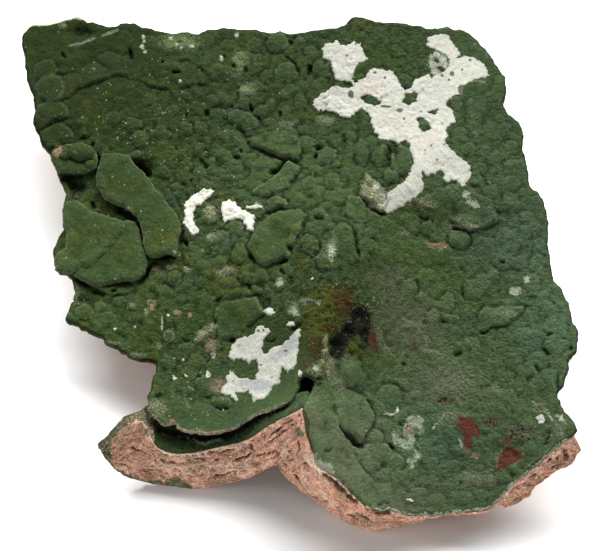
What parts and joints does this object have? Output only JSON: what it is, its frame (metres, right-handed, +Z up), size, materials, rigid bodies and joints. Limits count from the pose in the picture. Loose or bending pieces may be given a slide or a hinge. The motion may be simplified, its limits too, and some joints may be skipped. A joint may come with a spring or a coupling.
{
  "type": "mottramite on dolomite mineral specimen",
  "caption": "Folded plate of pink dolomite with a green botryoidal mottramite crust and thin white calcite coatings, lying flat as a cabinet specimen.",
  "frame": {"origin": "under the middle of the specimen's box, at the level that it rests on", "axes": "+Z up as the specimen lies, +Y towards the high back edge, -Y towards the broken front edge with its two troughs, +X towards the side with the larger trough"},
  "size_m": [0.0958, 0.092, 0.0237],
  "materials": {
    "dolomite": "broken granular crystalline stone, dull with small glints",
    "mottramite": "botryoidal crust, dull to faintly waxy",
    "dark_mottramite": "dark smooth crust lining, faintly waxy",
    "calcite": "white finely granular coating, matt"
  },
  "bodies": {
    "root": {"dolomite_matrix": "dolomite", "mottramite_crust": "mottramite", "trough_lining_crust": "dark_mottramite", "upper_left_crust_plate": "mottramite", "lower_left_crust_plate": "mottramite", "left_crust_shelf": "mottramite", "back_right_calcite_coating": "calcite", "front_calcite_coating": "calcite", "crescent_calcite_coating": "calcite", "centre_calcite_coating": "calcite"}
  },
  "joints": []
}
